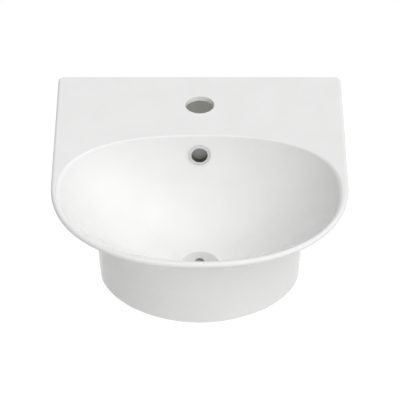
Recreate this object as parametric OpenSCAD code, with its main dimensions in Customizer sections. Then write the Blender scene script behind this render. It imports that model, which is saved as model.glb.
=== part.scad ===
// Small wall-hung basin in glazed ceramic: a flat ledge with one tap hole, a wide bowl with a
// push-in overflow ring, and an oval lower body, held on the wall by two hanger bolts.
// X runs across, the wall is the plane Y = 0 with the user towards -Y, and Z points up.
// Depths are measured down from the top of the deck, distances from the wall towards the user.

/* [Rim and deck] */
// Overall width of the rim
body_w = 350; // [330:5:420]
// Distance from the wall to the front of the rim
body_d = 362; // [345:1:400]
// Distance from the wall to the widest line, where the front begins to curve
mid_d = 212; // [200:1:225]
// Fullness of the rim's front curve, where 2 is an ellipse
rim_power = 2.2; // [2:0.1:2.8]
// Radius of the two corners at the wall
corner_r = 5; // [3:1:15]
// Thickness of the rim, whose outer edge is fully rounded
rim_t = 7; // [6:0.5:11]
// Thickness of the deck round the tap hole
deck_t = 7; // [6:0.5:10]
// Thickness of the back panel that stands against the wall
panel_t = 12; // [10:1:16]

/* [Bowl] */
// Distance from the wall to the bowl's back wall
ledge_d = 120.5; // [115:0.5:140]
// Distance from the wall to the bowl's widest line
bowl_mid = 226; // [212:1:230]
// Width of the rim beside the bowl
rim_side = 11; // [10:1:25]
// Width of the rim in front of the bowl
rim_front = 5.5; // [5.5:0.5:20]
// Depth of the bowl at the waste hole
bowl_depth = 110; // [95:1:120]
// Radius of the bowl's upper edge at its back and front
bowl_edge_r = 1.5; // [1:0.5:3]
// Radius of the bowl's upper edge at its two sides
side_edge_r = 5; // [3:0.5:6]
// Fullness of the bowl's outline behind its widest line
bowl_back_power = 2.5; // [2:0.1:3]
// Steepness of the bowl's back wall, where 1 is a straight slope
back_steep = 2.2; // [1.6:0.1:3]
// Steepness of the bowl's side walls
side_steep = 1.4; // [1.2:0.1:2.2]
// Fall of the bowl's front wall, where 1 is a straight slope and more is flatter near the waste
front_fall = 1.3; // [1:0.05:1.4]
// Thickness of the bowl's shell
shell_t = 8; // [8:0.5:11]

/* [Lower body] */
// Width of the lower body at its foot
foot_w = 239; // [215:1:260]
// Distance from the wall to the front of the foot
foot_d = 308; // [295:1:320]
// Fullness of the foot's front curve
foot_power = 1.9; // [1.7:0.1:2.4]
// Lean of the lower body's wall, in degrees
draft = 3; // [0:0.5:6]
// Wall thickness of the lower body
wall_t = 9; // [7:0.5:12]
// Size of the soft blend between the lower body and the underside of the bowl
flare_blend = 12; // [6:1:30]
// Radius of the foot's outer edge
foot_r = 3; // [1:0.5:5]

/* [Holes] */
// Diameter of the tap hole
tap_hole_d = 35; // [30:0.5:38]
// Distance from the wall to the centre of the tap hole
tap_hole_back = 57.5; // [45:0.5:70]
// Diameter of the waste hole
waste_hole_d = 45; // [42:0.5:48]
// Distance from the wall to the centre of the waste hole
waste_back = 228; // [215:1:235]
// Length of the waste hole through the ceramic
waste_l = 25; // [22:1:40]
// Radius of the waste hole's upper edge
waste_edge_r = 2; // [1:0.5:3]
// Width of the flat ring round the waste hole
waste_flat = 0.5; // [0.4:0.1:3]
// Ledge between the waste hole's boss and the bowl's shell
boss_ledge = 1; // [0.5:0.5:6]
// Height of the boss's face above the foot
boss_rise = 1; // [0.5:0.5:6]
// Depth of the overflow hole's centre
overflow_drop = 28; // [20:0.5:32]
// Diameter of the overflow hole
overflow_hole_d = 24; // [22:0.5:26]

/* [Overflow duct] */
// Clear width of the duct behind the bowl
duct_w = 30; // [28:1:36]
// Clear depth of the duct
duct_gap = 10; // [8:0.5:12]
// Thickness of the duct's wall
duct_wall = 5; // [4:0.5:7]
// Height of the duct's underside above the boss's face
duct_rise = 2; // [1:0.5:4]
// Diameter of the duct's outlet into the waste hole
outlet_d = 12; // [8:1:16]
// Depth of the outlet's centre below the bowl
outlet_drop = 16.7; // [14:0.1:18]

/* [Overflow ring] */
// Outer diameter of the ring's flange
ring_d = 28; // [27:0.5:32]
// Clear bore of the ring
ring_bore_d = 19; // [16:0.5:20]
// Thickness of the flange
ring_flange_t = 2.2; // [1.5:0.1:3]
// Length of the barrel behind the flange
ring_barrel_l = 7.5; // [5:0.5:9]
// Depth of the flat seat that the flange lies in
ring_seat = 0.6; // [0.4:0.1:1]
// Clearance round the ring and behind its flange
ring_gap = 0.3; // [0.2:0.05:0.5]

/* [Wall fixing] */
// Distance between the two wall bolts
bolt_spacing = 180; // [150:5:200]
// Depth of the wall bolts below the deck
bolt_drop = 65; // [60:1:85]
// Diameter of the holes in the back panel
bolt_hole_d = 20; // [18:1:24]
// Diameter of a hanger bolt in the wall
bolt_d = 10; // [8:1:12]
// Difference between that diameter and the plain cylinder that stands for the nut's thread
bolt_step = 0.4; // [0.4:0.1:1]
// Length of a bolt in the wall
bolt_in_wall = 60; // [40:5:90]
// Length of a bolt's point
bolt_tip = 12; // [8:1:16]
// Length of a bolt's end beyond its nut
bolt_end = 6; // [3:1:12]
// Chamfer of that end
bolt_chamfer = 1; // [0.5:0.1:2]
// Diameter of the bush's flange
bush_d = 32; // [28:1:36]
// Thickness of the bush's flange
bush_flange_t = 3.5; // [2:0.5:5]
// Diameter of the steel washer
washer_d = 21; // [20:1:26]
// Thickness of the steel washer
washer_t = 2; // [1.5:0.5:3]
// Width of the nut across its flats
nut_w = 17; // [16:1:19]
// Height of the nut
nut_h = 8; // [6:0.5:10]
// Clearance between the bush and its hole, on the radius
bush_gap = 0.2; // [0.1:0.05:0.5]
// Clearance round the bolt in the bush and the washer, on the radius
bolt_gap = 0.25; // [0.15:0.05:0.5]
// Clearance round the bolt in its nut, on the radius
thread_gap = 0.05; // [0.03:0.01:0.1]

/* [Hidden] */

// Colours
glaze = [0.95, 0.95, 0.94];
chrome = [0.78, 0.79, 0.80];
nylon = [0.90, 0.89, 0.85];
zinc = [0.66, 0.67, 0.69];

// Fineness of round holes and of the free-form outlines
$fn = 72;
bowl_steps = 72;
bowl_levels = 14;
shell_levels = 10;
front_steps = 40;
corner_steps = 3;
side_steps = 3;
back_steps = 6;
edge_steps = 4;
foot_steps = 3;
flare_levels = 11;

// Overlap of a cutting shape past the face that it cuts
past = 1;

rim_r = rim_t / 2;
waste_r = waste_hole_d / 2;
waste_top_r = waste_r + waste_edge_r;
seat_r = waste_top_r + waste_flat;
bowl_hw = body_w / 2 - rim_side;
bowl_back = bowl_mid - ledge_d;
bowl_front = body_d - bowl_mid - rim_front;
boss_drop = bowl_depth + waste_l;
boss_r = seat_r + shell_t + boss_ledge;
duct_drop = boss_drop - duct_rise;
body_h = boss_drop + boss_rise;
thread_r = (bolt_d - bolt_step) / 2;

function mix(a, b, t) = a + (b - a) * t;
function signed_pow(x, e) = sign(x) * pow(abs(x), e);
// The larger of two lengths, with a soft blend of size k where they are nearly equal
function soft_max(a, b, k) = max(a, b) + pow(max(k - abs(a - b), 0), 2) / (4 * k);
// Eased step from 0 to 1
function eased(x) = let (c = min(max(x, 0), 1)) c * c * (3 - 2 * c);

// Share of the bowl's width that is left in the direction t at a depth, from 1 at the rim to 0 at
// the bottom: its walls bulge behind and at the sides, and its front falls in a flat slope
function front_share(t) = sin(t) < 0 ? 1 - pow(cos(t), 4) : 0;
function steep_at(t) = mix(mix(side_steep, back_steep, sin(t) > 0 ? pow(sin(t), 2) : 0), 1, front_share(t));
function width_left(t, depth, bottom) =
    let (bulge = mix(1 / steep_at(t), front_fall, front_share(t)))
    pow(max(1 - pow(depth / bottom, steep_at(t)), 0), bulge);

// Point of the bowl's surface in the direction t at a depth, or of the surface grow outside it
function bowl_point(t, depth, grow, bottom) =
    let (left = width_left(t, depth, bottom))
    let (power = mix(2, sin(t) > 0 ? bowl_back_power : rim_power, left))
    let (half_w = mix(seat_r, bowl_hw, left) + grow)
    let (reach = mix(seat_r, sin(t) > 0 ? bowl_back : bowl_front, left) + grow)
    let (middle = mix(-waste_back, -bowl_mid, left))
    [half_w * signed_pow(cos(t), 2 / power), middle + reach * signed_pow(sin(t), 2 / power), -depth];
bowl_turns = [for (i = [0 : bowl_steps - 1]) 360 * i / bowl_steps];
function bowl_ring(depth, grow, bottom) = [for (t = bowl_turns) bowl_point(t, depth, grow, bottom)];
function edge_r(t) = mix(bowl_edge_r, side_edge_r, pow(cos(t), 6));
function lifted(ring, z) = [for (p = ring) [p.x, p.y, z]];

// Point of a curve through a half width on the widest line and a front on the centre line
function front_point(t, half_w, front, power, z) =
    [half_w * signed_pow(cos(t), 2 / power), -mid_d + (front - mid_d) * signed_pow(sin(t), 2 / power), z];
front_turns = [for (i = [0 : front_steps]) 180 + 180 * i / front_steps];

// Outline closed by straight sides, round corners and a back at a distance behind, from the points
// of its front, which run from left to right
function u_outline(front, r, behind) =
    let (start = front[front_steps], half_w = start.x, z = start.z)
    [
        for (i = [0 : side_steps - 1]) [half_w, mix(start.y, -behind - r, i / side_steps), z],
        for (i = [0 : corner_steps])
            let (a = 90 * i / corner_steps) [half_w - r + r * cos(a), -behind - r + r * sin(a), z],
        for (i = [1 : back_steps - 1]) [mix(half_w - r, r - half_w, i / back_steps), -behind, z],
        for (i = [0 : corner_steps])
            let (a = 90 + 90 * i / corner_steps) [r - half_w + r * cos(a), -behind - r + r * sin(a), z],
        for (i = [1 : side_steps - 1]) [-half_w, mix(-behind - r, start.y, i / side_steps), z],
        for (i = [0 : front_steps - 1]) front[i]
    ];

// Outer surface below the rim, less an inset: the further out of the bowl's shell and the lower body,
// measured from the middle of the widest line, with a soft blend where they meet
function out_from_middle(p) = norm([p.x, p.y + mid_d]);
function outer_point(t, depth, inset) =
    let (lean = (body_h - depth) * tan(draft) - inset)
    let (wall = front_point(t, foot_w / 2 + lean, foot_d + lean, foot_power, -depth))
    let (shell = bowl_point(t, depth, shell_t - inset, bowl_depth + shell_t))
    let (wall_out = out_from_middle(wall), shell_out = out_from_middle(shell))
    let (p = mix(wall, shell, eased((shell_out - wall_out) / flare_blend + 0.5)))
    let (grown = soft_max(shell_out, wall_out, flare_blend) / out_from_middle(p))
    [p.x * grown, (p.y + mid_d) * grown - mid_d, -depth];
function outer_front(depth, inset) = [for (t = front_turns) outer_point(t, depth, inset)];
function rim_ring(a) =
    let (inset = rim_r * (1 - cos(a)))
    u_outline([
        for (t = front_turns)
            front_point(t, body_w / 2 - inset, body_d - inset, rim_power, -rim_r + rim_r * sin(a))
    ], corner_r, 0);

// Closed solid through a stack of outlines that rise from the first to the last
function middle_of(ring) = [0, (min([for (p = ring) p.y]) + max([for (p = ring) p.y])) / 2, ring[0].z];
module loft(rings) {
    n = len(rings[0]);
    last = len(rings) - 1;
    corners = [for (ring = rings) each ring];
    function fan(first, tip, turn) = [
        for (j = [0 : n - 1])
            let (a = first + j, b = first + (j + 1) % n) turn ? [tip, b, a] : [tip, a, b]
    ];
    sides = [
        for (i = [0 : last - 1]) for (j = [0 : n - 1])
            let (a = i * n + j, b = i * n + (j + 1) % n)
            each [[a, b + n, b], [a, a + n, b + n]]
    ];
    polyhedron(concat(corners, [middle_of(rings[0]), middle_of(rings[last])]),
               concat(sides, fan(0, len(corners), false), fan(last * n, len(corners) + 1, true)),
               convexity = 8);
}

// Everything is drawn with its depths below the deck, then lifted until the wall bolts are at Z = 0
module lift_to_frame() {
    translate([0, 0, bolt_drop]) children();
}

// The outside of the casting: foot, lower body, flare and rounded rim
module outer_form() {
    foot = [
        for (i = [0 : foot_steps - 1])
            let (a = 90 * i / foot_steps)
            u_outline(outer_front(body_h - foot_r * (1 - cos(a)), foot_r * (1 - sin(a))), corner_r, 0)
    ];
    flare = [
        for (i = [0 : flare_levels])
            let (depth = mix(body_h - foot_r - past, rim_t + past, pow(i / flare_levels, 0.8)))
            u_outline(outer_front(depth, 0), corner_r, 0)
    ];
    rim = [for (i = [-edge_steps : edge_steps]) rim_ring(90 * i / edge_steps)];
    loft(concat(foot, flare, rim));
}

// The space inside the bowl, with its rounded upper edge
module bowl_cavity() {
    wall = [
        for (i = [0 : bowl_levels]) [
            for (t = bowl_turns)
                bowl_point(t, mix(edge_r(t), bowl_depth, cos(90 * i / bowl_levels)), 0, bowl_depth)
        ]
    ];
    edge = [
        for (i = [1 : edge_steps])
            let (a = 85 * i / edge_steps) [
                for (t = bowl_turns)
                    bowl_point(t, edge_r(t) * (1 - sin(a)), edge_r(t) * (1 - cos(a)), bowl_depth)
            ]
    ];
    loft(concat(wall, edge, [lifted(edge[edge_steps - 1], past)]));
}

// The outside of the bowl's shell, seen from underneath
module bowl_shell() {
    bottom = bowl_depth + shell_t;
    rings = [for (i = [0 : shell_levels]) bowl_ring(bottom * cos(90 * i / shell_levels), shell_t, bottom)];
    loft(concat(rings, [lifted(rings[shell_levels], past)]));
}

// The hollow of the lower body, open at the foot and closed by the deck
module hollow() {
    rings = [
        for (i = [0 : flare_levels])
            let (depth = mix(body_h, deck_t, i / flare_levels))
            lifted(u_outline(outer_front(max(depth, rim_t), wall_t), corner_r, panel_t), -depth)
    ];
    loft(concat([lifted(rings[0], -body_h - past)], rings));
}

// Strip that runs down behind the bowl and under it, from one surface outside the bowl to another
function strip_edge(grow, top, bottom) = [
    for (i = [0 : bowl_levels])
        let (p = bowl_point(90, mix(top, bottom, sin(90 * i / bowl_levels)), grow, bottom)) [p.y, p.z]
];
module strip(width, top, inner, inner_bottom, outer, outer_bottom) {
    outside = strip_edge(outer, top, outer_bottom);
    rotate([90, 0, 90]) translate([0, 0, -width / 2]) linear_extrude(width) polygon(concat(
        strip_edge(inner, top, inner_bottom),
        [[-waste_back, -inner_bottom], [-waste_back, -outer_bottom]],
        [for (i = [bowl_levels : -1 : 0]) outside[i]]));
}

// Duct that leads the overflow down behind the bowl to the waste hole
module duct_body() {
    strip(duct_w + 2 * duct_wall, deck_t / 2, shell_t / 2, bowl_depth + shell_t / 2,
          shell_t + duct_gap + duct_wall, duct_drop);
}
module duct_passage() {
    intersection() {
        strip(duct_w, deck_t + past, shell_t, bowl_depth + shell_t, shell_t + duct_gap,
              duct_drop - duct_wall);
        union() {
            translate([-duct_w, seat_r + shell_t - waste_back, -body_h]) cube([2 * duct_w, mid_d, body_h]);
            translate([0, -waste_back, -bowl_depth - outlet_drop])
                rotate([-90, 0, 0]) cylinder(d = outlet_d, h = mid_d);
        }
    }
}

// Places its children at the overflow hole, with Z along the hole's axis towards the user
function back_wall_y(depth) = bowl_point(90, depth, 0, bowl_depth).y;
overflow_lean = atan((back_wall_y(overflow_drop - ring_d / 4) - back_wall_y(overflow_drop + ring_d / 4))
                     / (ring_d / 2));
module at_overflow() {
    translate([0, back_wall_y(overflow_drop), -overflow_drop]) rotate([90 - overflow_lean, 0, 0]) children();
}
module overflow_hole() {
    at_overflow() {
        translate([0, 0, -shell_t - duct_gap / 2]) cylinder(d = overflow_hole_d, h = shell_t + duct_gap);
        translate([0, 0, -ring_seat]) cylinder(r = ring_d / 2 + ring_gap, h = 2 * ring_d);
    }
}

module tap_hole() {
    translate([0, -tap_hole_back, -deck_t - past]) cylinder(d = tap_hole_d, h = deck_t + 2 * past);
}

// Waste hole with its rounded upper edge
module waste_hole() {
    translate([0, -waste_back, -boss_drop - past]) cylinder(r = waste_r, h = waste_l + 2 * past);
    translate([0, -waste_back, -bowl_depth]) rotate_extrude() polygon(concat(
        [[0, past], [0, -waste_edge_r], [waste_r, -waste_edge_r]],
        [for (i = [1 : edge_steps])
            let (a = 90 * i / edge_steps)
            [waste_top_r - waste_edge_r * cos(a), -waste_edge_r * (1 - sin(a))]],
        [[waste_top_r, past]]));
}
module waste_boss() {
    translate([0, -waste_back, -boss_drop]) cylinder(r = boss_r, h = waste_l);
}

module bolt_places(side) {
    translate([side * bolt_spacing / 2, 0, -bolt_drop]) rotate([90, 0, 0]) children();
}
module wall_hole(side) {
    bolt_places(side) translate([0, 0, -past]) cylinder(d = bolt_hole_d, h = panel_t + 2 * past);
}

module ceramic_body() {
    color(glaze) lift_to_frame() difference() {
        outer_form();
        bowl_cavity();
        difference() {
            hollow();
            bowl_shell();
            waste_boss();
            duct_body();
        }
        duct_passage();
        overflow_hole();
        tap_hole();
        waste_hole();
        wall_hole(-1);
        wall_hole(1);
    }
}

// Chrome ring pushed into the overflow hole: a flange with a rounded face and a plain barrel
module overflow_ring() {
    bore_r = ring_bore_d / 2;
    barrel_r = overflow_hole_d / 2 - ring_gap;
    round_r = ring_flange_t / 2;
    back = -ring_seat + ring_gap;
    color(chrome) lift_to_frame() at_overflow() rotate_extrude() polygon(concat(
        [[bore_r, back - ring_barrel_l], [barrel_r, back - ring_barrel_l], [barrel_r, back],
         [ring_d / 2 - round_r, back]],
        [for (i = [-3 : 4])
            let (a = 90 * i / 4)
            [ring_d / 2 - round_r + round_r * cos(a), back + round_r + round_r * sin(a)]],
        [for (i = [0 : 4])
            let (a = 90 + 90 * i / 4)
            [bore_r + round_r + round_r * cos(a), back + round_r + round_r * sin(a)]]));
}

// Stack on each bolt, from the panel's inner face towards the user
washer_at = panel_t + bush_flange_t;
nut_at = washer_at + washer_t;
bolt_top = nut_at + nut_h + bolt_end;
module wall_bolt(side) {
    color(zinc) lift_to_frame() bolt_places(side) rotate_extrude() polygon([
        [0, -bolt_in_wall], [bolt_d / 2, bolt_tip - bolt_in_wall], [bolt_d / 2, 0], [thread_r, 0],
        [thread_r, bolt_top - bolt_chamfer], [thread_r - bolt_chamfer, bolt_top], [0, bolt_top]]);
}
module bolt_bush(side) {
    color(nylon) lift_to_frame() bolt_places(side) difference() {
        union() {
            translate([0, 0, bush_gap]) cylinder(r = bolt_hole_d / 2 - bush_gap, h = panel_t - bush_gap);
            translate([0, 0, panel_t]) cylinder(d = bush_d, h = bush_flange_t);
        }
        translate([0, 0, -past]) cylinder(r = bolt_d / 2 + bolt_gap, h = washer_at + 2 * past);
    }
}
module bolt_washer(side) {
    color(zinc) lift_to_frame() bolt_places(side) translate([0, 0, washer_at]) difference() {
        cylinder(d = washer_d, h = washer_t);
        translate([0, 0, -past]) cylinder(r = bolt_d / 2 + bolt_gap, h = washer_t + 2 * past);
    }
}
module bolt_nut(side) {
    color(zinc) lift_to_frame() bolt_places(side) translate([0, 0, nut_at]) difference() {
        cylinder(r = nut_w / 2 / cos(30), h = nut_h, $fn = 6);
        translate([0, 0, -past]) cylinder(r = thread_r + thread_gap, h = nut_h + 2 * past);
    }
}

ceramic_body();
overflow_ring();
wall_bolt(-1);  // wall_bolt_left
wall_bolt(1);  // wall_bolt_right
bolt_bush(-1);  // bolt_bush_left
bolt_bush(1);  // bolt_bush_right
bolt_washer(-1);  // bolt_washer_left
bolt_washer(1);  // bolt_washer_right
bolt_nut(-1);  // bolt_nut_left
bolt_nut(1);  // bolt_nut_right
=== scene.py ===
# Small wall-hung basin: the glazed casting, its chrome overflow ring and the two wall fixings.
# Metres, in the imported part's frame: the wall is Y = 0, the user stands towards -Y, and Z is up.
import bpy
import bmesh
import math
from mathutils import Matrix, Vector


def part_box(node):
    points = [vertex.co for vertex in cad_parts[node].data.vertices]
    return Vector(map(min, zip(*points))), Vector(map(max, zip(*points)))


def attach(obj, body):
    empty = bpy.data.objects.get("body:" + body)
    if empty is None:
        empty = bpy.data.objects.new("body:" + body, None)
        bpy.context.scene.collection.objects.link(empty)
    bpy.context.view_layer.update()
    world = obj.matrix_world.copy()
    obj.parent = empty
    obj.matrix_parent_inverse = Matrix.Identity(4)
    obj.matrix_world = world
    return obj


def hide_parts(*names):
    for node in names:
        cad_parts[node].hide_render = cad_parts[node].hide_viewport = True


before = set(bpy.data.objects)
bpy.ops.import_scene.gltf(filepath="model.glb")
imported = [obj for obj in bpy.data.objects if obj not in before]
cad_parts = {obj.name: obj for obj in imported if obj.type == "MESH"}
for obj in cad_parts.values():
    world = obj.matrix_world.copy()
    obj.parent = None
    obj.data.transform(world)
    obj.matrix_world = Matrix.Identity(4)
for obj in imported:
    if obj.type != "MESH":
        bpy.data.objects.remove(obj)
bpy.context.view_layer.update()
mm = 0.001
tiny = 0.001 * mm


# Small helpers

def mix(a, b, t):
    return a + (b - a) * t


def eased(x):
    x = min(max(x, 0), 1)
    return x * x * (3 - 2 * x)


def signedPow(x, e):
    return math.copysign(abs(x) ** e, x)


def softMax(a, b, k):
    return max(a, b) + max(k - abs(a - b), 0) ** 2 / (4 * k)


def upright(back):
    return Matrix.Translation((0, -back, 0))


def tipped(angle):
    return Matrix.Rotation(angle, 4, "X")


def newObject(name, mesh, materials=()):
    piece = bpy.data.objects.new(name, mesh)
    bpy.context.scene.collection.objects.link(piece)
    for material in materials:
        mesh.materials.append(material)
    return piece


def meshFrom(name, points, faces):
    mesh = bpy.data.meshes.new(name)
    mesh.from_pydata([tuple(p) for p in points], [], faces)
    mesh.update()
    return mesh


def facedOut(mesh):
    work = bmesh.new()
    work.from_mesh(mesh)
    bmesh.ops.recalc_face_normals(work, faces=work.faces)
    work.to_mesh(mesh)
    work.free()
    return mesh


def middleOf(ring):
    ys = [p[1] for p in ring]
    return (0, (min(ys) + max(ys)) / 2, ring[0][2])


def loft(name, rings):
    # closed mesh through rings that rise from the first to the last, anticlockwise seen from above
    n, last = len(rings[0]), len(rings) - 1
    points = [p for ring in rings for p in ring] + [middleOf(rings[0]), middleOf(rings[last])]
    faces = []
    for i in range(last):
        for j in range(n):
            a, b = i * n + j, i * n + (j + 1) % n
            faces.append((a, b, b + n, a + n))
    for j in range(n):
        k = (j + 1) % n
        faces.append((k, j, len(points) - 2))
        faces.append((last * n + j, last * n + k, len(points) - 1))
    return meshFrom(name, points, faces)


def lathe(name, profile, steps, place=Matrix()):
    # profile: (radius, height) pairs of a closed loop, anticlockwise with the radius to the right
    points, rows = [], []
    for r, h in profile:
        if r < tiny:
            rows.append([len(points)] * steps)
            points.append(place @ Vector((0, 0, h)))
            continue
        rows.append(list(range(len(points), len(points) + steps)))
        for i in range(steps):
            a = 2 * math.pi * i / steps
            points.append(place @ Vector((r * math.cos(a), r * math.sin(a), h)))
    faces = []
    for i, low in enumerate(rows):
        high = rows[(i + 1) % len(rows)]
        for j in range(steps):
            k = (j + 1) % steps
            corners = list(dict.fromkeys((low[j], low[k], high[k], high[j])))
            if len(corners) > 2:
                faces.append(corners)
    return meshFrom(name, points, faces)


def drum(name, radius, low, high, steps, place=Matrix()):
    return lathe(name, [(0, low), (radius, low), (radius, high), (0, high)], steps, place)


def arc(centre, radius, start, end, steps):
    # points of an arc in a profile, with its angles in degrees
    turn = [math.radians(mix(start, end, i / steps)) for i in range(steps + 1)]
    return [(centre[0] + radius * math.cos(a), centre[1] + radius * math.sin(a)) for a in turn]


def evaluated(piece):
    # the piece with its modifiers applied, as a plain mesh
    shown = piece.evaluated_get(bpy.context.evaluated_depsgraph_get())
    return bpy.data.meshes.new_from_object(shown)


def bakeDown(piece):
    mesh = evaluated(piece)
    piece.modifiers.clear()
    piece.data = mesh


def cutAway(piece, tools):
    for tool in tools:
        cut = piece.modifiers.new("cut", "BOOLEAN")
        cut.operation = "DIFFERENCE"
        cut.solver = "EXACT"
        cut.object = tool
    bakeDown(piece)
    for tool in tools:
        bpy.data.objects.remove(tool)


# Edges that turn by more than these degrees stay sharp
creases = dict(casting=38, ring=50, fixing=35)


def smoothed(piece, kind, weights="FACE_AREA"):
    # smooth shading with true creases, where by default large flat faces keep their own normal
    piece.data.polygons.foreach_set("use_smooth", [True] * len(piece.data.polygons))
    piece.data.set_sharp_from_angle(angle=math.radians(creases[kind]))
    weigh = piece.modifiers.new("weigh", "WEIGHTED_NORMAL")
    weigh.mode = weights
    weigh.keep_sharp = True
    bakeDown(piece)


def mathNode(tree, what, *values):
    node = tree.nodes.new("ShaderNodeMath")
    node.operation = what
    for i, value in enumerate(values):
        if isinstance(value, (int, float)):
            node.inputs[i].default_value = value
        else:
            tree.links.new(value, node.inputs[i])
    return node.outputs[0]


# Materials. The colour runs from low to high over a noise called cloud, the roughness over one
# called sheen, and each bump is (size, detail, height). Most of a noise lies within noiseSpan.

noiseSpan = (0.3, 0.7)
thinRuns = dict(cloud=(14 * mm, 3), sheen=7 * mm,
                bumps=[(9 * mm, 3, 0.25 * mm), (1.2 * mm, 3, 0.03 * mm)], sockets={})
looks = dict(
    # thick white glaze: faint clouding, and the long soft waves that glaze sets in
    whiteGlaze=dict(low=(0.905, 0.905, 0.9), high=(0.93, 0.93, 0.926), rough=(0.15, 0.21),
                    cloud=(45 * mm, 2), sheen=12 * mm,
                    bumps=[(22 * mm, 1, 0.06 * mm), (1.8 * mm, 2, 0.004 * mm)],
                    sockets={"IOR": 1.5}),
    # inside of the casting: a thin, uneven, half matt glaze, whose grey is darkened as painted
    # shade for the dim hollow under the bowl
    thinGlazeAndShade=dict(low=(0.62, 0.622, 0.59), high=(0.68, 0.682, 0.648), rough=(0.45, 0.65),
                   **thinRuns),
    ductGlaze=dict(low=(0.92, 0.922, 0.87), high=(0.95, 0.952, 0.90), rough=(0.30, 0.50),
                   **thinRuns),
    # foot and wall side, wiped clean of glaze before firing
    bareClay=dict(low=(0.78, 0.76, 0.71), high=(0.85, 0.83, 0.785), rough=(0.75, 0.92),
                  cloud=(5 * mm, 5), sheen=3 * mm, bumps=[(1.1 * mm, 4, 0.03 * mm)], sockets={}),
    ringChrome=dict(low=(0.78, 0.79, 0.80), high=(0.84, 0.85, 0.86), rough=(0.04, 0.10),
                    cloud=(6 * mm, 3), sheen=2 * mm, bumps=[(3 * mm, 1, 0.004 * mm)],
                    sockets={"Metallic": 1}),
    # the ring's bore: a dark glossy skin, partly bare of plating and partly painted shade for the
    # dark inside of the bore
    ringBoreAndShade=dict(low=(0.08, 0.08, 0.076), high=(0.13, 0.13, 0.124), rough=(0.12, 0.22),
                  cloud=(4 * mm, 3), sheen=2 * mm, bumps=[(1.5 * mm, 3, 0.006 * mm)],
                  sockets={"Metallic": 0.5}),
    bushNylon=dict(low=(0.80, 0.78, 0.72), high=(0.86, 0.84, 0.79), rough=(0.35, 0.50),
                   cloud=(4 * mm, 3), sheen=1.5 * mm, bumps=[(0.8 * mm, 3, 0.01 * mm)],
                   sockets={"Subsurface Weight": 0.05}),
    # bright zinc plating, with the cloudy patches that it gets
    zincPlate=dict(low=(0.50, 0.51, 0.53), high=(0.66, 0.67, 0.70), rough=(0.25, 0.42),
                   cloud=(3.5 * mm, 4), sheen=1.6 * mm, bumps=[(0.6 * mm, 3, 0.008 * mm)],
                   sockets={"Metallic": 1}),
)


def noiseOf(tree, size, detail=3):
    # noise in the frame's own metres, whose features are about size across
    place = tree.nodes.new("ShaderNodeTexCoord")
    noise = tree.nodes.new("ShaderNodeTexNoise")
    noise.inputs["Scale"].default_value = 1 / size
    noise.inputs["Detail"].default_value = detail
    tree.links.new(place.outputs["Object"], noise.inputs["Vector"])
    return noise


def tint(tree, shader, noise, low, high):
    ramp = tree.nodes.new("ShaderNodeValToRGB")
    for stop, at, colour in zip(ramp.color_ramp.elements, noiseSpan, (low, high)):
        stop.position = at
        stop.color = (*colour, 1)
    tree.links.new(noise.outputs["Fac"], ramp.inputs["Fac"])
    tree.links.new(ramp.outputs["Color"], shader.inputs["Base Color"])


def roughen(tree, shader, noise, low, high):
    spread = tree.nodes.new("ShaderNodeMapRange")
    spread.inputs["From Min"].default_value, spread.inputs["From Max"].default_value = noiseSpan
    spread.inputs["To Min"].default_value = low
    spread.inputs["To Max"].default_value = high
    tree.links.new(noise.outputs["Fac"], spread.inputs["Value"])
    tree.links.new(spread.outputs["Result"], shader.inputs["Roughness"])


def bumpy(tree, shader, noise, height, under):
    bump = tree.nodes.new("ShaderNodeBump")
    bump.inputs["Distance"].default_value = height
    tree.links.new(noise.outputs["Fac"], bump.inputs["Height"])
    if under:
        tree.links.new(under.outputs["Normal"], bump.inputs["Normal"])
    tree.links.new(bump.outputs["Normal"], shader.inputs["Normal"])
    return bump


def newMaterial(name, look):
    material = bpy.data.materials.new(name)
    material.use_nodes = True
    tree = material.node_tree
    shader = tree.nodes["Principled BSDF"]
    tint(tree, shader, noiseOf(tree, *look["cloud"]), look["low"], look["high"])
    roughen(tree, shader, noiseOf(tree, look["sheen"]), *look["rough"])
    under = None
    for size, detail, height in look["bumps"]:
        under = bumpy(tree, shader, noiseOf(tree, size, detail), height, under)
    for socket, value in look["sockets"].items():
        shader.inputs[socket].default_value = value
    return material


skins = {name: newMaterial(name, look) for name, look in looks.items()}
print("materials ready")

# The casting. Depths run down from the deck, distances from the wall towards the user.
# A power of 2 makes an outline an ellipse, and more makes it squarer.
lowCorner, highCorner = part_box("ceramic_body")
deckTop = highCorner.z
basin = dict(
    width=highCorner.x - lowCorner.x,
    depth=-lowCorner.y,
    height=highCorner.z - lowCorner.z,
    widestLine=212 * mm, rimPower=2.2, cornerRadius=5 * mm,
    rimThick=7 * mm, deckThick=7 * mm, panelThick=12 * mm,
    ledge=120.5 * mm, bowlMiddle=226 * mm, rimSide=11 * mm, rimFront=5.5 * mm,
    bowlDepth=110 * mm, bowlEdge=1.5 * mm, sideEdge=5 * mm, sideEdgePower=6,
    lipTurn=math.radians(88), shell=8 * mm,
    bowlBackPower=2.5, backSteep=2.2, sideSteep=1.4, frontSteep=1, frontFall=1.3, frontPower=4,
    footWidth=239 * mm, footDepth=308 * mm, footPower=1.9, footRadius=3 * mm,
    draft=math.radians(3), wall=9 * mm, flareBlend=12 * mm,
)
holes = dict(
    tapRadius=17.5 * mm, tapBack=57.5 * mm, tapEdge=0.8 * mm,
    wasteRadius=22.5 * mm, wasteBack=228 * mm, wasteEdge=2 * mm, wasteFlat=0.5 * mm,
    wasteLength=25 * mm, bossLedge=1 * mm,
    overflowDrop=28 * mm, overflowRadius=12 * mm,
    ductWidth=30 * mm, ductGap=10 * mm, ductWall=5 * mm, ductRise=2 * mm,
    outletRadius=6 * mm, outletDrop=16.7 * mm,
    boltSide=90 * mm, boltRadius=10 * mm,
)
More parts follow.
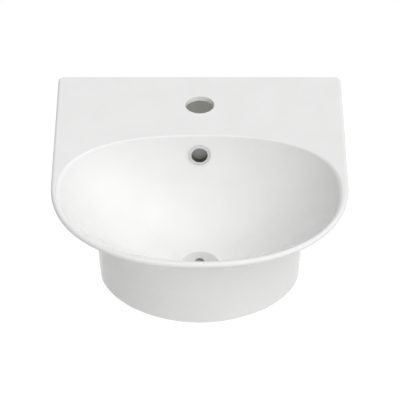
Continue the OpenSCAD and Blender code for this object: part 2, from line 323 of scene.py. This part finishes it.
# Counts of steps, apart from two shares (crowding, softness), the hollow's voxel size and how far
# the tools reach past the solid (past, hollowPast)
fineness = dict(
    bowl=600, bowlLevels=40, lip=12, crowding=0.5, front=180, corner=10, side=24, back=60,
    flare=34, edge=10, hollow=2.9 * mm, hollowLevels=24, shellAround=120, softness=0.5,
    softenings=6, boss=72, hole=96, narrowHole=64, tapEdge=6, wasteEdge=8,
    past=1 * mm, hollowPast=12 * mm,
)
past = fineness["past"]
seatRadius = holes["wasteRadius"] + holes["wasteEdge"] + holes["wasteFlat"]
bowlHalf = basin["width"] / 2 - basin["rimSide"]
bowlBack = basin["bowlMiddle"] - basin["ledge"]
bowlFront = basin["depth"] - basin["bowlMiddle"] - basin["rimFront"]
bossBottom = basin["bowlDepth"] + holes["wasteLength"]
ductBottom = bossBottom - holes["ductRise"]


def widthLeft(turn, depth, bottom):
    # share of the bowl's width at a depth: full walls behind and beside, a flat slope in front
    s, inFront = math.sin(turn), 0
    steep = basin["sideSteep"]
    if s > 0:
        steep = mix(steep, basin["backSteep"], s * s)
    else:
        inFront = 1 - math.cos(turn) ** basin["frontPower"]
        steep = mix(steep, basin["frontSteep"], inFront)
    bulge = mix(1 / steep, basin["frontFall"], inFront)
    return max(1 - (max(depth, 0) / bottom) ** steep, 0) ** bulge


def bowlPoint(turn, depth, grow=0.0, bottom=basin["bowlDepth"]):
    # point of the bowl in a direction, or of the surface that lies grow outside it
    c, s = math.cos(turn), math.sin(turn)
    left = widthLeft(turn, depth, bottom)
    power = mix(2, basin["bowlBackPower"] if s > 0 else basin["rimPower"], left)
    halfWidth = mix(seatRadius, bowlHalf, left) + grow
    reach = mix(seatRadius, bowlBack if s > 0 else bowlFront, left) + grow
    middle = mix(-holes["wasteBack"], -basin["bowlMiddle"], left)
    return (halfWidth * signedPow(c, 2 / power), middle + reach * signedPow(s, 2 / power),
            deckTop - depth)


def bowlTurns(steps):
    # closest together at the front, where the camera sees the bowl's wall edge on
    even = [2 * math.pi * i / steps for i in range(steps)]
    return [turn - fineness["crowding"] * math.cos(turn) for turn in even]


def lifted(ring, z):
    return [(p[0], p[1], z) for p in ring]


def frontTurns():
    return [math.pi * (1 + i / fineness["front"]) for i in range(fineness["front"] + 1)]


def frontPoint(turn, halfWidth, front, power, z):
    # point of a curve that bulges from the widest line to the front
    mid = basin["widestLine"]
    return (halfWidth * signedPow(math.cos(turn), 2 / power),
            -mid + (front - mid) * signedPow(math.sin(turn), 2 / power), z)


def uOutline(front, behind):
    # a front curve from left to right, closed by straight sides and round corners at the wall
    halfWidth, start, z = front[-1]
    r = basin["cornerRadius"]
    sides, corners, backs = fineness["side"], fineness["corner"], fineness["back"]
    ring = [(halfWidth, mix(start, -behind - r, i / sides), z) for i in range(sides)]
    for i in range(corners + 1):
        a = math.pi / 2 * i / corners
        ring.append((halfWidth - r + r * math.cos(a), -behind - r + r * math.sin(a), z))
    ring += [(mix(halfWidth - r, r - halfWidth, i / backs), -behind, z) for i in range(1, backs)]
    for i in range(corners + 1):
        a = math.pi / 2 * (1 + i / corners)
        ring.append((r - halfWidth + r * math.cos(a), -behind - r + r * math.sin(a), z))
    ring += [(-halfWidth, mix(-behind - r, start, i / sides), z) for i in range(1, sides)]
    return ring + front[:-1]


def outFromMiddle(point):
    return math.hypot(point[0], point[1] + basin["widestLine"])


def outerPoint(turn, depth, inset):
    # the further out of the bowl's shell and the lower body, softly blended where they meet
    mid, blend = basin["widestLine"], basin["flareBlend"]
    lean = (basin["height"] - depth) * math.tan(basin["draft"]) - inset
    wall = frontPoint(turn, basin["footWidth"] / 2 + lean, basin["footDepth"] + lean,
                      basin["footPower"], 0)
    shell = bowlPoint(turn, depth, basin["shell"] - inset, basin["bowlDepth"] + basin["shell"])
    wallOut, shellOut = outFromMiddle(wall), outFromMiddle(shell)
    share = eased((shellOut - wallOut) / blend + 0.5)
    x, y = mix(wall[0], shell[0], share), mix(wall[1], shell[1], share)
    grown = softMax(shellOut, wallOut, blend) / outFromMiddle((x, y))
    return (x * grown, (y + mid) * grown - mid, deckTop - depth)


def outerRing(depth, inset=0.0, behind=0.0):
    return uOutline([outerPoint(turn, depth, inset) for turn in frontTurns()], behind)


def outerForm():
    r, rimR, edge = basin["footRadius"], basin["rimThick"] / 2, fineness["edge"]
    footTop, flareTop = basin["height"] - r, basin["rimThick"] + past
    rings = []
    for i in range(edge):
        a = math.pi / 2 * i / edge
        rings.append(outerRing(basin["height"] - r * (1 - math.cos(a)), r * (1 - math.sin(a))))
    for i in range(fineness["flare"] + 1):
        rings.append(outerRing(mix(footTop, flareTop, i / fineness["flare"])))
    for i in range(-edge, edge + 1):
        a = math.pi / 2 * i / edge
        inset = rimR * (1 - math.cos(a))
        z = deckTop - rimR + rimR * math.sin(a)
        front = [frontPoint(turn, basin["width"] / 2 - inset, basin["depth"] - inset,
                            basin["rimPower"], z) for turn in frontTurns()]
        rings.append(uOutline(front, 0))
    return loft("castingOutside", rings)


def bowlCavity():
    edge, levels, turns = fineness["lip"], fineness["bowlLevels"], bowlTurns(fineness["bowl"])
    # the edge is small in front and behind and widens to the sides
    radii = [mix(basin["bowlEdge"], basin["sideEdge"], math.cos(turn) ** basin["sideEdgePower"])
             for turn in turns]
    rings = []
    for i in range(levels + 1):
        down = math.cos(math.pi / 2 * i / levels)
        rings.append([bowlPoint(turn, mix(r, basin["bowlDepth"], down))
                      for turn, r in zip(turns, radii)])
    for i in range(1, edge + 1):
        a = basin["lipTurn"] * i / edge
        rings.append([bowlPoint(turn, r * (1 - math.sin(a)), r * (1 - math.cos(a)))
                      for turn, r in zip(turns, radii)])
    rings.append(lifted(rings[-1], deckTop + past))
    return loft("bowlCavity", rings)


def ductEdge(grow, top, bottom):
    # side view of a surface that follows the bowl's back wall down to the waste, as (y, z)
    levels = fineness["bowlLevels"]
    points = []
    for i in range(levels + 1):
        depth = mix(top, bottom, math.sin(math.pi / 2 * i / levels))
        points.append(bowlPoint(math.pi / 2, depth, grow, bottom)[1:])
    return points + [(-holes["wasteBack"], deckTop - bottom)]


def strip(name, halfWidth, inner, outer):
    section = inner + outer[::-1]
    points = [(x, y, z) for x in (-halfWidth, halfWidth) for y, z in section]
    n = len(section)
    faces = [tuple(range(n)), tuple(reversed(range(n, 2 * n)))]
    faces += [(i, i + n, (i + 1) % n + n, (i + 1) % n) for i in range(n)]
    return newObject(name, facedOut(meshFrom(name, points, faces)))


def block(name, low, high):
    corners = [(x, y, z) for x in (low[0], high[0])
               for y in (low[1], high[1]) for z in (low[2], high[2])]
    sides = [(0, 1, 3, 2), (4, 6, 7, 5), (0, 4, 5, 1), (2, 3, 7, 6), (0, 2, 6, 4), (1, 5, 7, 3)]
    return newObject(name, facedOut(meshFrom(name, corners, sides)))


def bowlShell():
    levels, shell = fineness["hollowLevels"], basin["shell"]
    bottom = basin["bowlDepth"] + shell
    rings = []
    for i in range(levels + 1):
        depth = bottom * math.cos(math.pi / 2 * i / levels)
        rings.append([bowlPoint(turn, depth, shell, bottom)
                      for turn in bowlTurns(fineness["shellAround"])])
    rings.append(lifted(rings[-1], deckTop + past))
    return newObject("shell", loft("shell", rings))


def wasteBoss():
    radius = seatRadius + basin["shell"] + holes["bossLedge"]
    low, high = deckTop - bossBottom, deckTop - basin["bowlDepth"]
    return newObject("boss", drum("boss", radius, low, high, fineness["boss"],
                                  upright(holes["wasteBack"])))


def ductBody():
    shell, top = basin["shell"], basin["deckThick"] / 2
    return strip("ductBody", holes["ductWidth"] / 2 + holes["ductWall"],
                 ductEdge(shell / 2, top, basin["bowlDepth"] + shell / 2),
                 ductEdge(shell + holes["ductGap"] + holes["ductWall"], top, ductBottom))


def hollowTool():
    # the space under the bowl, with the soft inner corners that a casting has
    levels = fineness["hollowLevels"]
    rings = []
    for i in range(levels + 1):
        depth = mix(basin["height"], basin["deckThick"], i / levels)
        ring = outerRing(max(depth, basin["rimThick"]), basin["wall"], basin["panelThick"])
        rings.append(lifted(ring, deckTop - depth))
    rings.insert(0, lifted(rings[0], deckTop - basin["height"] - fineness["hollowPast"]))
    space = newObject("hollow", loft("hollow", rings))
    cutAway(space, [bowlShell(), wasteBoss(), ductBody()])
    remesh = space.modifiers.new("even", "REMESH")
    remesh.mode = "VOXEL"
    remesh.voxel_size = fineness["hollow"]
    soften = space.modifiers.new("soften", "SMOOTH")
    soften.factor = fineness["softness"]
    soften.iterations = fineness["softenings"]
    bakeDown(space)
    return space


def ductTools():
    shell, top, back = basin["shell"], basin["deckThick"] + past, holes["wasteBack"]
    passage = strip("ductPassage", holes["ductWidth"] / 2,
                    ductEdge(shell, top, basin["bowlDepth"] + shell),
                    ductEdge(shell + holes["ductGap"], top, ductBottom - holes["ductWall"]))
    # in the boss the passage is only a round outlet, cut flat by the passage's floor
    bossFace = seatRadius + shell - back
    wide, floorZ = holes["ductWidth"], deckTop - ductBottom + holes["ductWall"]
    ahead, low = -back - wide, lowCorner.z - past
    cutAway(passage, [block("ahead", (-wide, ahead, low), (wide, bossFace, deckTop))])
    outletZ = deckTop - basin["bowlDepth"] - holes["outletDrop"]
    place = Matrix.Translation((0, -back, outletZ)) @ tipped(-math.pi / 2)
    outlet = newObject("outlet", drum("outlet", holes["outletRadius"], 0,
                                      bossFace + back + 2 * past, fineness["narrowHole"], place))
    cutAway(outlet, [block("under", (-wide, ahead, low), (wide, 0, floorZ))])
    return [passage, outlet]


def softHole(kind, top, below):
    # the tap hole or the waste hole, with its soft upper edge
    r, edge = holes[kind + "Radius"], holes[kind + "Edge"]
    rounded = arc((r + edge, top - edge), edge, 180, 90, fineness[kind + "Edge"])
    profile = [(0, below), (r, below), *rounded, (r + edge, top + past), (0, top + past)]
    return lathe(kind + "Hole", profile, fineness["hole"], upright(holes[kind + "Back"]))


def backWallAt(depth):
    return bowlPoint(math.pi / 2, depth)[1]


ringSizes = dict(
    radius=13.3 * mm, leanSpan=14 * mm, bore=9.5 * mm, flange=2.2 * mm, barrel=7.5 * mm,
    seat=0.6 * mm, gap=0.3 * mm, rimGap=0.5 * mm, chamfer=0.3 * mm,
    around=128, faceSteps=14, lipSteps=10,
)
half, drop = ringSizes["leanSpan"] / 2, holes["overflowDrop"]
overflowLean = math.atan((backWallAt(drop - half) - backWallAt(drop + half)) / (2 * half))
overflowPlace = (Matrix.Translation((0, backWallAt(drop), deckTop - drop))
                 @ tipped(math.pi / 2 - overflowLean))


def overflowHole():
    # the hole and the shallow seat of the ring's flange, open to the bowl
    r, seat = holes["overflowRadius"], -ringSizes["seat"]
    seatR = ringSizes["radius"] + ringSizes["rimGap"]
    inner, out = -basin["shell"] - holes["ductGap"] / 2, 2 * ringSizes["radius"]
    profile = [(0, inner), (r, inner), (r, seat), (seatR, seat), (seatR, out), (0, out)]
    return lathe("overflowHole", profile, fineness["hole"], overflowPlace)


def wallPlace(side):
    # the axis of one wall bolt, with Z from the wall towards the user
    return Matrix.Translation((side * holes["boltSide"], 0, 0)) @ tipped(math.pi / 2)


def wallHole(side):
    deep = basin["panelThick"] + 3 * past
    return drum("wallHole", holes["boltRadius"], -past, deep, fineness["narrowHole"],
                wallPlace(side))


def flatDeck(mesh):
    # the deck's own normal right up to its rounded edges, however narrow the lip is
    facingUp, underDeck = 0.9, 0.01 * mm
    normals = [Vector(corner.vector) for corner in mesh.corner_normals]
    for face in mesh.polygons:
        for loop in face.loop_indices:
            point = mesh.vertices[mesh.loops[loop].vertex_index].co
            if face.normal.z > facingUp and point.z > deckTop - underDeck:
                normals[loop] = Vector((0, 0, 1))
    mesh.normals_split_custom_set(normals)


def clayFaces(mesh):
    # the foot's face and the wall side carry no glaze
    margin, square = 0.2 * mm, 0.99
    slot = list(mesh.materials).index(skins["bareClay"])
    for face in mesh.polygons:
        onWall = face.center.y > -margin and face.normal.y > square
        onFoot = face.center.z < lowCorner.z + margin and face.normal.z < -square
        if onWall or onFoot:
            face.material_index = slot


castingSkins = ["whiteGlaze", "thinGlazeAndShade", "ductGlaze", "bareClay"]


def skinned(piece, skin):
    # all faces in one of the casting's finishes; a cut takes over the finish of its tool
    mesh = piece.data
    for name in castingSkins:
        mesh.materials.append(skins[name])
    mesh.polygons.foreach_set("material_index", [castingSkins.index(skin)] * len(mesh.polygons))
    return piece


def casting():
    body = skinned(newObject("basinCasting", outerForm()), "whiteGlaze")
    # the hollow's faces take the thin glaze with its painted shade
    tools = [skinned(newObject("bowl", bowlCavity()), "whiteGlaze"),
             skinned(hollowTool(), "thinGlazeAndShade")]
    tools += [skinned(tool, "ductGlaze") for tool in ductTools()]
    tapBottom = deckTop - basin["deckThick"] - 3 * past
    bowlBottom, wasteBottom = deckTop - basin["bowlDepth"], deckTop - basin["height"] - past
    openings = (overflowHole(), softHole("tap", deckTop, tapBottom),
                softHole("waste", bowlBottom, wasteBottom))
    tools += [skinned(newObject("opening", mesh), "whiteGlaze") for mesh in openings]
    tools += [skinned(newObject("wallHole", wallHole(side)), "bareClay") for side in (-1, 1)]
    cutAway(body, tools)
    clayFaces(body.data)
    smoothed(body, "casting", "CORNER_ANGLE")
    flatDeck(body.data)
    return body


castingPiece = casting()
castingPiece.data.calc_loop_triangles()
print("casting:", len(castingPiece.data.loop_triangles), "triangles")


def overflowRing():
    # flange with a soft face and a lip round the bore, on a thin barrel
    bore, r, c = ringSizes["bore"], ringSizes["radius"], ringSizes["chamfer"]
    back = ringSizes["gap"] - ringSizes["seat"]
    inner = back - ringSizes["barrel"]
    barrelR = holes["overflowRadius"] - ringSizes["gap"]
    roundR = ringSizes["flange"] / 2
    profile = [(bore, inner + c), (bore + c, inner), (barrelR - c, inner), (barrelR, inner + c),
               (barrelR, back)]
    profile += arc((r - roundR, back + roundR), roundR, -90, 90, ringSizes["faceSteps"])
    profile += arc((bore + roundR, back + roundR), roundR, 90, 180, ringSizes["lipSteps"])
    steps = ringSizes["around"]
    piece = newObject("overflowRing", lathe("overflowRing", profile, steps, overflowPlace),
                      [skins["ringChrome"], skins["ringBoreAndShade"]])
    # the bore is the last row of faces, which carry the bore's dark skin with its painted shade
    for face in piece.data.polygons[-steps:]:
        face.material_index = 1
    return piece


ringPiece = overflowRing()
smoothed(ringPiece, "ring")
print("overflow ring done")

# Wall fixings, from the wall towards the user
boltSizes = dict(
    radius=5 * mm, threadRadius=4.8 * mm, inWall=60 * mm, end=6 * mm, around=49,
    plainFrom=-10 * mm, plainTo=6 * mm, plainRadius=4.7 * mm, plainAround=48,
    wallPitch=4 * mm, wallCore=3.4 * mm, wallPoint=12 * mm, wallChamfer=0.6 * mm, wallAlong=150,
    nutPitch=1.5 * mm, nutCore=4.2 * mm, nutPoint=0.6 * mm, nutChamfer=1 * mm, nutAlong=161,
)
bushSizes = dict(radius=16 * mm, thick=3.5 * mm, gap=0.2 * mm, boltGap=0.25 * mm,
                 chamfer=0.4 * mm, edgeSteps=5, around=80)
washerSizes = dict(radius=10.5 * mm, thick=2 * mm, boltGap=0.25 * mm, chamfer=0.25 * mm, around=80)
nutSizes = dict(width=17 * mm, height=8 * mm, threadGap=0.05 * mm, bevel=0.3 * mm,
                bevelAngle=math.radians(30), chamfer=0.5 * mm, around=144)
# How steeply a thread's flanks rise to its crest, and how softly they reach it
threadFlank = dict(rise=2.6, softness=0.2)
washerAt = basin["panelThick"] + bushSizes["thick"]
nutAt = washerAt + washerSizes["thick"]
boltEnd = nutAt + nutSizes["height"] + boltSizes["end"]


def threadTree():
    # a rod whose radius follows a thread: a grid is rolled up, and each point's radius comes
    # from how far it lies from the crest of the helix
    tree = bpy.data.node_groups.new("threadedRod", "GeometryNodeTree")
    face = tree.interface
    face.new_socket("Geometry", in_out="OUTPUT", socket_type="NodeSocketGeometry")
    kinds = dict.fromkeys(("Start", "End", "Core", "Crest", "Pitch", "Point", "Chamfer"), "Float")
    kinds.update(Around="Int", Along="Int", Material="Material")
    sizes = {}
    for name, kind in kinds.items():
        socket = face.new_socket(name, in_out="INPUT", socket_type="NodeSocket" + kind)
        sizes[name] = socket.identifier
    given = tree.nodes.new("NodeGroupInput").outputs

    def calc(what, *values):
        return mathNode(tree, what, *values)

    grid = tree.nodes.new("GeometryNodeMeshGrid")
    grid.inputs["Size X"].default_value = 1
    grid.inputs["Size Y"].default_value = 1
    tree.links.new(given["Around"], grid.inputs["Vertices X"])
    tree.links.new(given["Along"], grid.inputs["Vertices Y"])
    at = tree.nodes.new("ShaderNodeSeparateXYZ")
    tree.links.new(tree.nodes.new("GeometryNodeInputPosition").outputs[0], at.inputs[0])
    turn = calc("ADD", at.outputs["X"], 0.5)
    share = calc("ADD", at.outputs["Y"], 0.5)
    length = calc("SUBTRACT", given["End"], given["Start"])
    height = calc("MULTIPLY_ADD", share, length, given["Start"])
    phase = calc("SUBTRACT", calc("DIVIDE", height, given["Pitch"]), turn)
    wave = calc("PINGPONG", phase, 0.5)
    crest = calc("SMOOTH_MIN", calc("MULTIPLY", wave, threadFlank["rise"]), 1,
                 threadFlank["softness"])
    rise = calc("MULTIPLY", crest, calc("SUBTRACT", given["Crest"], given["Core"]))
    radius = calc("ADD", given["Core"], rise)
    pointed = calc("DIVIDE", calc("SUBTRACT", height, given["Start"]), given["Point"])
    radius = calc("MULTIPLY", radius, calc("MINIMUM", pointed, 1))
    toEnd = calc("SUBTRACT", given["End"], height)
    endCap = calc("ADD", calc("SUBTRACT", given["Crest"], given["Chamfer"]), toEnd)
    radius = calc("MINIMUM", radius, endCap)
    angle = calc("MULTIPLY", turn, 2 * math.pi)
    place = tree.nodes.new("ShaderNodeCombineXYZ")
    tree.links.new(calc("MULTIPLY", radius, calc("COSINE", angle)), place.inputs["X"])
    tree.links.new(calc("MULTIPLY", radius, calc("SINE", angle)), place.inputs["Y"])
    tree.links.new(height, place.inputs["Z"])
    roll = tree.nodes.new("GeometryNodeSetPosition")
    tree.links.new(grid.outputs["Mesh"], roll.inputs["Geometry"])
    tree.links.new(place.outputs[0], roll.inputs["Position"])
    seam = tree.nodes.new("GeometryNodeMergeByDistance")
    seam.inputs["Distance"].default_value = tiny
    tree.links.new(roll.outputs[0], seam.inputs["Geometry"])
    real = tree.nodes.new("GeometryNodeRealizeInstances")
    tree.links.new(seam.outputs[0], real.inputs[0])
    skin = tree.nodes.new("GeometryNodeSetMaterial")
    tree.links.new(real.outputs[0], skin.inputs["Geometry"])
    tree.links.new(given["Material"], skin.inputs["Material"])
    tree.links.new(skin.outputs[0], tree.nodes.new("NodeGroupOutput").inputs[0])
    return tree, sizes


threadedRod, rodSizes = threadTree()


def capped(mesh):
    work = bmesh.new()
    work.from_mesh(mesh)
    bmesh.ops.remove_doubles(work, verts=work.verts, dist=tiny)
    bmesh.ops.holes_fill(work, edges=[e for e in work.edges if e.is_boundary])
    bmesh.ops.recalc_face_normals(work, faces=work.faces)
    work.to_mesh(mesh)
    work.free()
    return mesh


def rod(end, values):
    # one threaded end of a bolt from the tree, as a plain mesh with its open end closed
    values.update(Pitch=boltSizes[end + "Pitch"], Core=boltSizes[end + "Core"],
                  Point=boltSizes[end + "Point"], Chamfer=boltSizes[end + "Chamfer"],
                  Along=boltSizes[end + "Along"], Around=boltSizes["around"],
                  Material=skins["zincPlate"])
    maker = newObject("rod", bpy.data.meshes.new("rod"))
    grow = maker.modifiers.new("thread", "NODES")
    grow.node_group = threadedRod
    for name, value in values.items():
        grow[rodSizes[name]] = value
    mesh = evaluated(maker)
    bpy.data.objects.remove(maker)
    return capped(mesh)


def hangerBolt(side, name):
    # coarse thread and point for the plug, plain middle, and a fine thread for the nut
    start, end = boltSizes["plainFrom"], boltSizes["plainTo"]
    parts = [rod("wall", dict(Start=-boltSizes["inWall"], End=start, Crest=boltSizes["radius"])),
             rod("nut", dict(Start=end, End=boltEnd, Crest=boltSizes["threadRadius"])),
             drum("middle", boltSizes["plainRadius"], start - past, end + past,
                  boltSizes["plainAround"])]
    work = bmesh.new()
    for mesh in parts:
        mesh.transform(wallPlace(side))
        work.from_mesh(mesh)
    whole = bpy.data.meshes.new(name)
    work.to_mesh(whole)
    work.free()
    return newObject(name, whole, [skins["zincPlate"]])


def bush(side, name):
    gap, c = bushSizes["gap"], bushSizes["chamfer"]
    hole, barrel = boltSizes["radius"] + bushSizes["boltGap"], holes["boltRadius"] - gap
    panel, r = basin["panelThick"], bushSizes["radius"]
    profile = [(hole, gap), (barrel - 2 * c, gap), (barrel, gap + 3 * c), (barrel, panel),
               (r - c, panel), (r, panel + c), (r, washerAt - 2 * c)]
    profile += arc((r - 2 * c, washerAt - 2 * c), 2 * c, 0, 90, bushSizes["edgeSteps"])[1:]
    profile += [(hole + c, washerAt), (hole, washerAt - c)]
    mesh = lathe(name, profile, bushSizes["around"], wallPlace(side))
    return newObject(name, mesh, [skins["bushNylon"]])


def washer(side, name):
    c, r = washerSizes["chamfer"], washerSizes["radius"]
    hole = boltSizes["radius"] + washerSizes["boltGap"]
    low, high = washerAt, washerAt + washerSizes["thick"]
    profile = [(hole, low + c), (hole + c, low), (r - c, low), (r, low + c), (r, high - 2 * c),
               (r - 2 * c, high), (hole + c, high), (hole, high - c)]
    mesh = lathe(name, profile, washerSizes["around"], wallPlace(side))
    return newObject(name, mesh, [skins["zincPlate"]])


def nut(side, name):
    # hexagon whose corners are turned down to a cone at both ends
    steps, flat, c = nutSizes["around"], nutSizes["width"] / 2, nutSizes["chamfer"]
    hole, turned = boltSizes["threadRadius"] + nutSizes["threadGap"], flat - nutSizes["bevel"]
    low, high = nutAt, nutAt + nutSizes["height"]
    points = []

    def hexRadius(a):
        return flat / math.cos((a + math.pi / 6) % (math.pi / 3) - math.pi / 6)

    def droop(a):
        return (hexRadius(a) - turned) * math.tan(nutSizes["bevelAngle"])

    def addRing(radiusAt, heightAt):
        for i in range(steps):
            a = 2 * math.pi * i / steps
            at = Vector((radiusAt(a) * math.cos(a), radiusAt(a) * math.sin(a), heightAt(a)))
            points.append(wallPlace(side) @ at)

    addRing(lambda a: hole, lambda a: low + c)
    addRing(lambda a: hole + c, lambda a: low)
    addRing(lambda a: turned, lambda a: low)
    addRing(hexRadius, lambda a: low + droop(a))
    addRing(hexRadius, lambda a: high - droop(a))
    addRing(lambda a: turned, lambda a: high)
    addRing(lambda a: hole + c, lambda a: high)
    addRing(lambda a: hole, lambda a: high - c)
    rows = len(points) // steps
    faces = []
    for i in range(rows):
        for j in range(steps):
            k, up = (j + 1) % steps, (i + 1) % rows
            faces.append((i * steps + j, i * steps + k, up * steps + k, up * steps + j))
    return newObject(name, facedOut(meshFrom(name, points, faces)), [skins["zincPlate"]])


fixings = []
for side, word in ((-1, "left"), (1, "right")):
    made = {
        "wall_bolt_": hangerBolt(side, "hangerBolt." + word),
        "bolt_bush_": bush(side, "bush." + word),
        "bolt_washer_": washer(side, "washer." + word),
        "bolt_nut_": nut(side, "nut." + word),
    }
    for node, piece in made.items():
        smoothed(piece, "fixing")
        fixings.append((piece, node + word))
print("wall fixings:", len(fixings), "pieces")

# What each piece moves with, and the solid that it stands for
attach(castingPiece, "basin")
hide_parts("ceramic_body")
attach(ringPiece, "ring")
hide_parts("overflow_ring")
for piece, node in fixings:
    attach(piece, "basin")
    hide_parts(node)

# Studio: pale floor far below, white surroundings, and soft light from above and the right.
# lightFrom lists the soft lights as (turn from +X, height above the horizon, strength).
studio = dict(
    floorDrop=0.85, floorHalf=1.6, floorColour=(0.8, 0.8, 0.79), floorLift=0.35,
    floorGrain=0.4, floorShade=0.99,
    evenLight=0.19, lightSpread=6,
    lightFrom=((-30, 50, 2.08), (-90, 10, 1.16), (0, 90, 0.68), (90, 15, 0.5)),
    tiltDown=math.radians(38.536), distance=3.085, aim=(0.423 * mm, -244.66 * mm),
    focalPixels=2644.9, framePixels=400, sensor=36,
)


def floorMaterial():
    # pale and matt for the light, near white for the eye, and open when seen from below
    material = bpy.data.materials.new("paleFloor")
    material.use_nodes = True
    tree = material.node_tree
    tree.nodes.clear()
    matt = tree.nodes.new("ShaderNodeBsdfDiffuse")
    grain = noiseOf(tree, studio["floorGrain"])
    ramp = tree.nodes.new("ShaderNodeValToRGB")
    colour = studio["floorColour"]
    ramp.color_ramp.elements[0].color = (*[v * studio["floorShade"] for v in colour], 1)
    ramp.color_ramp.elements[1].color = (*colour, 1)
    tree.links.new(grain.outputs["Fac"], ramp.inputs["Fac"])
    tree.links.new(ramp.outputs["Color"], matt.inputs["Color"])
    glow = tree.nodes.new("ShaderNodeEmission")
    glow.inputs["Strength"].default_value = studio["floorLift"]
    bright = tree.nodes.new("ShaderNodeAddShader")
    tree.links.new(matt.outputs[0], bright.inputs[0])
    tree.links.new(glow.outputs[0], bright.inputs[1])
    ray = tree.nodes.new("ShaderNodeLightPath").outputs
    face = tree.nodes.new("ShaderNodeNewGeometry").outputs
    seen = mathNode(tree, "MAXIMUM", ray["Is Camera Ray"], ray["Is Glossy Ray"])
    below = mathNode(tree, "MULTIPLY", face["Backfacing"], ray["Is Camera Ray"])

    def mixed(share, first, second):
        pick = tree.nodes.new("ShaderNodeMixShader")
        for i, output in enumerate((share, first, second)):
            tree.links.new(output, pick.inputs[i])
        return pick.outputs[0]

    shown = mixed(seen, matt.outputs[0], bright.outputs[0])
    shown = mixed(below, shown, tree.nodes.new("ShaderNodeBsdfTransparent").outputs[0])
    tree.links.new(shown, tree.nodes.new("ShaderNodeOutputMaterial").inputs["Surface"])
    return material


def floor():
    h, z = studio["floorHalf"], lowCorner.z - studio["floorDrop"]
    corners = [(-h, -h, z), (h, -h, z), (h, h, z), (-h, h, z)]
    return newObject("floor", meshFrom("floor", corners, [(0, 1, 2, 3)]), [floorMaterial()])


def surroundings():
    # an even sky with a few broad soft lights; camera, mirror and glass rays see plain white
    world = bpy.data.worlds.new("studio")
    bpy.context.scene.world = world
    world.use_nodes = True
    tree = world.node_tree
    back = tree.nodes["Background"]
    place = tree.nodes.new("ShaderNodeTexCoord")
    level = studio["evenLight"]
    for turn, height, strength in studio["lightFrom"]:
        turn, height = math.radians(turn), math.radians(height)
        towards = tree.nodes.new("ShaderNodeVectorMath")
        towards.operation = "DOT_PRODUCT"
        towards.inputs[1].default_value = (math.cos(turn) * math.cos(height),
                                           math.sin(turn) * math.cos(height), math.sin(height))
        tree.links.new(place.outputs["Generated"], towards.inputs[0])
        facing = mathNode(tree, "MAXIMUM", towards.outputs["Value"], 0)
        soft = mathNode(tree, "POWER", facing, studio["lightSpread"])
        level = mathNode(tree, "MULTIPLY_ADD", soft, strength, level)
    ray = tree.nodes.new("ShaderNodeLightPath").outputs
    seen = mathNode(tree, "MAXIMUM", ray["Is Camera Ray"], ray["Is Glossy Ray"])
    seen = mathNode(tree, "MAXIMUM", seen, ray["Is Transmission Ray"])
    # level + seen * (1 - level)
    rest = mathNode(tree, "SUBTRACT", 1, level)
    tree.links.new(mathNode(tree, "MULTIPLY_ADD", seen, rest, level), back.inputs["Strength"])
    back.inputs["Color"].default_value = (1, 1, 1, 1)


def camera():
    data = bpy.data.cameras.new("camera")
    eye = bpy.data.objects.new("camera", data)
    bpy.context.scene.collection.objects.link(eye)
    data.sensor_width = studio["sensor"]
    data.lens = studio["focalPixels"] / studio["framePixels"] * studio["sensor"]
    down, away = studio["tiltDown"], studio["distance"]
    x, y = studio["aim"]
    eye.location = (x, y - away * math.cos(down), deckTop + away * math.sin(down))
    eye.rotation_euler = (math.pi / 2 - down, 0, 0)
    bpy.context.scene.camera = eye


floor()
surroundings()
camera()
bpy.context.scene.view_settings.view_transform = "Standard"
print("studio ready")
